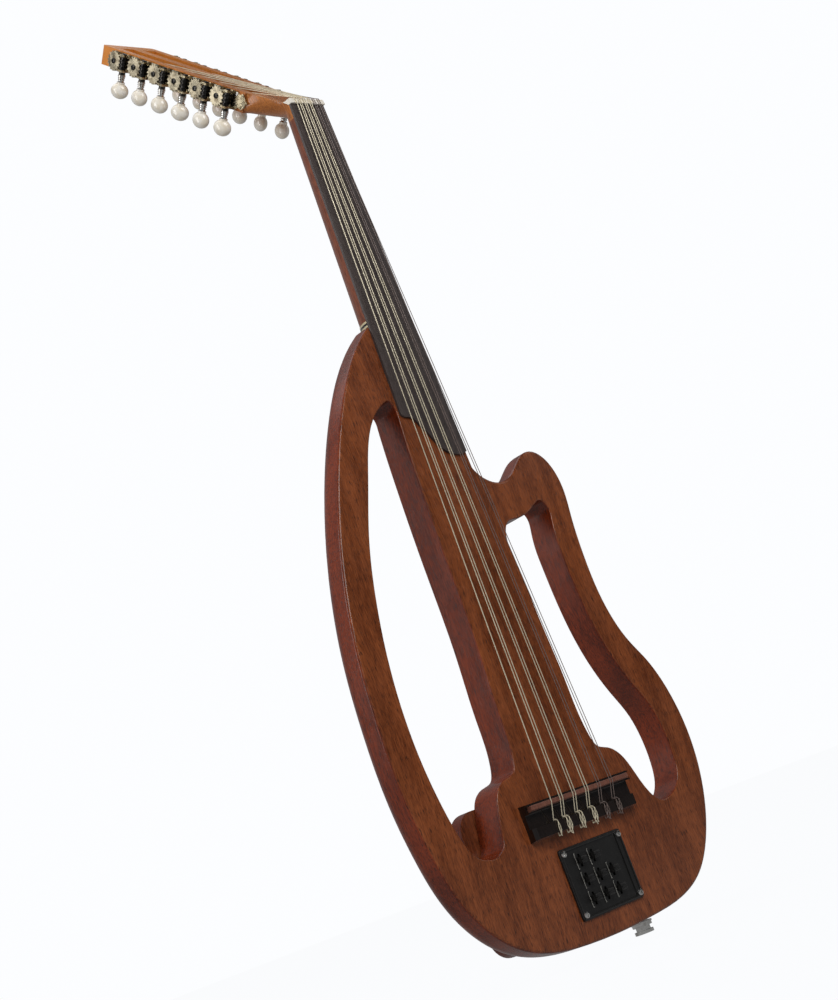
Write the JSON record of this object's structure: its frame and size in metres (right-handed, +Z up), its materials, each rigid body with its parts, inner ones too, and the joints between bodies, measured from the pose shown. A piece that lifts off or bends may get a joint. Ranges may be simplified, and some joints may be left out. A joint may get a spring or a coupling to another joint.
{
  "type": "silent oud",
  "caption": "Frame-body electric oud: open skeleton wooden body, long fretless neck, bent-back slotted head with geared tuners, bridge, slider preamp and tail jack.",
  "frame": {"origin": "middle of the tail edge, in the plane of the body's face", "axes": "+Z up along the neck, +X to the right of someone facing the instrument, +Y towards its back"},
  "size_m": [0.3253, 0.1916, 0.8604],
  "materials": {
    "mahogany": "gloss lacquer",
    "neck_mahogany": "gloss lacquer",
    "ebony": "satin",
    "bridge_ebony": "gloss",
    "rosewood": "satin",
    "ivory_plastic": "gloss",
    "binding": "gloss",
    "nickel": "polished",
    "steel": "satin",
    "string_wire": "wound",
    "panel_black": "satin",
    "knob_black": "satin"
  },
  "bodies": {
    "instrument": {"body_frame": "mahogany", "rear_housing": "mahogany", "neck": "neck_mahogany", "headstock": "neck_mahogany", "heel_binding": "binding", "fingerboard": "ebony", "nut": "ivory_plastic", "bridge": "bridge_ebony", "saddle": "rosewood", "tuner_plate_bass": "nickel", "tuner_plate_treble": "nickel", "strings": "string_wire", "preamp_panel": "panel_black", "preamp_box": "panel_black", "preamp_screws": "nickel", "output_jack": "nickel"},
    "key_bass_1": {"worm_bass_1": "nickel", "button_bass_1": "ivory_plastic"},
    "roller_bass_1": {"roller_bass_1": "steel"},
    "key_bass_2": {"worm_bass_2": "nickel", "button_bass_2": "ivory_plastic"},
    "roller_bass_2": {"roller_bass_2": "steel"},
    "key_bass_3": {"worm_bass_3": "nickel", "button_bass_3": "ivory_plastic"},
    "roller_bass_3": {"roller_bass_3": "steel"},
    "key_bass_4": {"worm_bass_4": "nickel", "button_bass_4": "ivory_plastic"},
    "roller_bass_4": {"roller_bass_4": "steel"},
    "key_bass_5": {"worm_bass_5": "nickel", "button_bass_5": "ivory_plastic"},
    "roller_bass_5": {"roller_bass_5": "steel"},
    "key_bass_6": {"worm_bass_6": "nickel", "button_bass_6": "ivory_plastic"},
    "roller_bass_6": {"roller_bass_6": "steel"},
    "key_treble_1": {"worm_treble_1": "nickel", "button_treble_1": "ivory_plastic"},
    "roller_treble_1": {"roller_treble_1": "steel"},
    "key_treble_2": {"worm_treble_2": "nickel", "button_treble_2": "ivory_plastic"},
    "roller_treble_2": {"roller_treble_2": "steel"},
    "key_treble_3": {"worm_treble_3": "nickel", "button_treble_3": "ivory_plastic"},
    "roller_treble_3": {"roller_treble_3": "steel"},
    "key_treble_4": {"worm_treble_4": "nickel", "button_treble_4": "ivory_plastic"},
    "roller_treble_4": {"roller_treble_4": "steel"},
    "key_treble_5": {"worm_treble_5": "nickel", "button_treble_5": "ivory_plastic"},
    "roller_treble_5": {"roller_treble_5": "steel"},
    "key_treble_6": {"worm_treble_6": "nickel", "button_treble_6": "ivory_plastic"},
    "roller_treble_6": {"roller_treble_6": "steel"},
    "slider_1_1": {"slider_1_1": "knob_black"},
    "slider_1_2": {"slider_1_2": "knob_black"},
    "slider_1_3": {"slider_1_3": "knob_black"},
    "slider_2_1": {"slider_2_1": "knob_black"},
    "slider_2_2": {"slider_2_2": "knob_black"},
    "slider_2_3": {"slider_2_3": "knob_black"},
    "slider_3_2": {"slider_3_2": "knob_black"},
    "slider_3_3": {"slider_3_3": "knob_black"}
  },
  "joints": [
    {"name": "key_turn_bass_1", "type": "hinge", "parent": "instrument", "child": "key_bass_1", "pos_m": [-0.0332, 0.04749, 0.72307], "axis": [0, 0.6896, -0.7242], "continuous": true},
    {"name": "roller_turn_bass_1", "type": "hinge", "parent": "instrument", "child": "roller_bass_1", "pos_m": [-0.0332, 0.05604, 0.73121], "axis": [1, 0, 0], "continuous": true},
    {"name": "key_turn_bass_2", "type": "hinge", "parent": "instrument", "child": "key_bass_2", "pos_m": [-0.0332, 0.06741, 0.74204], "axis": [0, 0.6896, -0.7242], "continuous": true},
    {"name": "roller_turn_bass_2", "type": "hinge", "parent": "instrument", "child": "roller_bass_2", "pos_m": [-0.0332, 0.07595, 0.75018], "axis": [1, 0, 0], "continuous": true},
    {"name": "key_turn_bass_3", "type": "hinge", "parent": "instrument", "child": "key_bass_3", "pos_m": [-0.0332, 0.08732, 0.761], "axis": [0, 0.6896, -0.7242], "continuous": true},
    {"name": "roller_turn_bass_3", "type": "hinge", "parent": "instrument", "child": "roller_bass_3", "pos_m": [-0.0332, 0.09587, 0.76914], "axis": [1, 0, 0], "continuous": true},
    {"name": "key_turn_bass_4", "type": "hinge", "parent": "instrument", "child": "key_bass_4", "pos_m": [-0.0332, 0.10723, 0.77997], "axis": [0, 0.6896, -0.7242], "continuous": true},
    {"name": "roller_turn_bass_4", "type": "hinge", "parent": "instrument", "child": "roller_bass_4", "pos_m": [-0.0332, 0.11578, 0.78811], "axis": [1, 0, 0], "continuous": true},
    {"name": "key_turn_bass_5", "type": "hinge", "parent": "instrument", "child": "key_bass_5", "pos_m": [-0.0332, 0.12715, 0.79893], "axis": [0, 0.6896, -0.7242], "continuous": true},
    {"name": "roller_turn_bass_5", "type": "hinge", "parent": "instrument", "child": "roller_bass_5", "pos_m": [-0.0332, 0.1357, 0.80707], "axis": [1, 0, 0], "continuous": true},
    {"name": "key_turn_bass_6", "type": "hinge", "parent": "instrument", "child": "key_bass_6", "pos_m": [-0.0332, 0.14707, 0.8179], "axis": [0, 0.6896, -0.7242], "continuous": true},
    {"name": "roller_turn_bass_6", "type": "hinge", "parent": "instrument", "child": "roller_bass_6", "pos_m": [-0.0332, 0.15561, 0.82603], "axis": [1, 0, 0], "continuous": true},
    {"name": "key_turn_treble_1", "type": "hinge", "parent": "instrument", "child": "key_treble_1", "pos_m": [0.0332, 0.04749, 0.72307], "axis": [0, 0.6896, -0.7242], "continuous": true},
    {"name": "roller_turn_treble_1", "type": "hinge", "parent": "instrument", "child": "roller_treble_1", "pos_m": [0.0332, 0.05604, 0.73121], "axis": [1, 0, 0], "continuous": true},
    {"name": "key_turn_treble_2", "type": "hinge", "parent": "instrument", "child": "key_treble_2", "pos_m": [0.0332, 0.06741, 0.74204], "axis": [0, 0.6896, -0.7242], "continuous": true},
    {"name": "roller_turn_treble_2", "type": "hinge", "parent": "instrument", "child": "roller_treble_2", "pos_m": [0.0332, 0.07595, 0.75018], "axis": [1, 0, 0], "continuous": true},
    {"name": "key_turn_treble_3", "type": "hinge", "parent": "instrument", "child": "key_treble_3", "pos_m": [0.0332, 0.08732, 0.761], "axis": [0, 0.6896, -0.7242], "continuous": true},
    {"name": "roller_turn_treble_3", "type": "hinge", "parent": "instrument", "child": "roller_treble_3", "pos_m": [0.0332, 0.09587, 0.76914], "axis": [1, 0, 0], "continuous": true},
    {"name": "key_turn_treble_4", "type": "hinge", "parent": "instrument", "child": "key_treble_4", "pos_m": [0.0332, 0.10723, 0.77997], "axis": [0, 0.6896, -0.7242], "continuous": true},
    {"name": "roller_turn_treble_4", "type": "hinge", "parent": "instrument", "child": "roller_treble_4", "pos_m": [0.0332, 0.11578, 0.78811], "axis": [1, 0, 0], "continuous": true},
    {"name": "key_turn_treble_5", "type": "hinge", "parent": "instrument", "child": "key_treble_5", "pos_m": [0.0332, 0.12715, 0.79893], "axis": [0, 0.6896, -0.7242], "continuous": true},
    {"name": "roller_turn_treble_5", "type": "hinge", "parent": "instrument", "child": "roller_treble_5", "pos_m": [0.0332, 0.1357, 0.80707], "axis": [1, 0, 0], "continuous": true},
    {"name": "key_turn_treble_6", "type": "hinge", "parent": "instrument", "child": "key_treble_6", "pos_m": [0.0332, 0.14707, 0.8179], "axis": [0, 0.6896, -0.7242], "continuous": true},
    {"name": "roller_turn_treble_6", "type": "hinge", "parent": "instrument", "child": "roller_treble_6", "pos_m": [0.0332, 0.15561, 0.82603], "axis": [1, 0, 0], "continuous": true},
    {"name": "slider_1_1_travel", "type": "slide", "parent": "instrument", "child": "slider_1_1", "axis": [0, 0, 1], "range_m": [-0.0032, 0.0032]},
    {"name": "slider_1_2_travel", "type": "slide", "parent": "instrument", "child": "slider_1_2", "axis": [0, 0, 1], "range_m": [-0.0032, 0.0032]},
    {"name": "slider_1_3_travel", "type": "slide", "parent": "instrument", "child": "slider_1_3", "axis": [0, 0, 1], "range_m": [-0.0032, 0.0032]},
    {"name": "slider_2_1_travel", "type": "slide", "parent": "instrument", "child": "slider_2_1", "axis": [0, 0, 1], "range_m": [-0.0032, 0.0032]},
    {"name": "slider_2_2_travel", "type": "slide", "parent": "instrument", "child": "slider_2_2", "axis": [0, 0, 1], "range_m": [-0.0032, 0.0032]},
    {"name": "slider_2_3_travel", "type": "slide", "parent": "instrument", "child": "slider_2_3", "axis": [0, 0, 1], "range_m": [-0.0032, 0.0032]},
    {"name": "slider_3_2_travel", "type": "slide", "parent": "instrument", "child": "slider_3_2", "axis": [0, 0, 1], "range_m": [-0.0032, 0.0032]},
    {"name": "slider_3_3_travel", "type": "slide", "parent": "instrument", "child": "slider_3_3", "axis": [0, 0, 1], "range_m": [-0.0032, 0.0032]}
  ],
  "couplings": [
    {"joint": "roller_turn_bass_1", "follows": "key_turn_bass_1", "ratio": -0.0625},
    {"joint": "roller_turn_bass_2", "follows": "key_turn_bass_2", "ratio": -0.0625},
    {"joint": "roller_turn_bass_3", "follows": "key_turn_bass_3", "ratio": -0.0625},
    {"joint": "roller_turn_bass_4", "follows": "key_turn_bass_4", "ratio": -0.0625},
    {"joint": "roller_turn_bass_5", "follows": "key_turn_bass_5", "ratio": -0.0625},
    {"joint": "roller_turn_bass_6", "follows": "key_turn_bass_6", "ratio": -0.0625},
    {"joint": "roller_turn_treble_1", "follows": "key_turn_treble_1", "ratio": -0.0625},
    {"joint": "roller_turn_treble_2", "follows": "key_turn_treble_2", "ratio": -0.0625},
    {"joint": "roller_turn_treble_3", "follows": "key_turn_treble_3", "ratio": -0.0625},
    {"joint": "roller_turn_treble_4", "follows": "key_turn_treble_4", "ratio": -0.0625},
    {"joint": "roller_turn_treble_5", "follows": "key_turn_treble_5", "ratio": -0.0625},
    {"joint": "roller_turn_treble_6", "follows": "key_turn_treble_6", "ratio": -0.0625}
  ]
}
